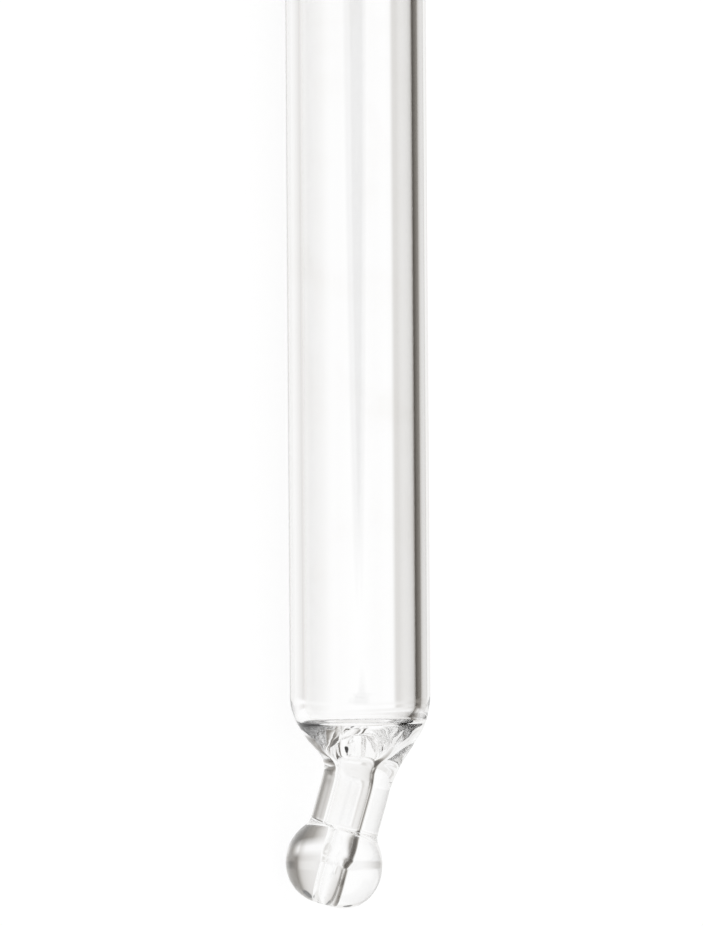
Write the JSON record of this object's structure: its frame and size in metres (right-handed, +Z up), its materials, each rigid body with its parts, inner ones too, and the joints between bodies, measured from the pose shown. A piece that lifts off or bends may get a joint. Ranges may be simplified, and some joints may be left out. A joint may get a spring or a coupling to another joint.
{
  "type": "glass dropper pipette",
  "caption": "Clear glass dropper tube: an open end that takes a rubber teat, a straight barrel, and a narrow bent neck that ends in a bored ball tip.",
  "frame": {"origin": "on the floor the pipette lies on, under the middle of its length and width", "axes": "+X along the barrel from the open end towards the ball tip, +Z up from the floor, +Y to the side away from the one the neck leans to"},
  "size_m": [0.076, 0.007, 0.007],
  "materials": {
    "glass": "clear drawn glass, fire polished at the rim and the ball"
  },
  "bodies": {
    "root": {"dropper_pipette": "glass"}
  },
  "joints": []
}
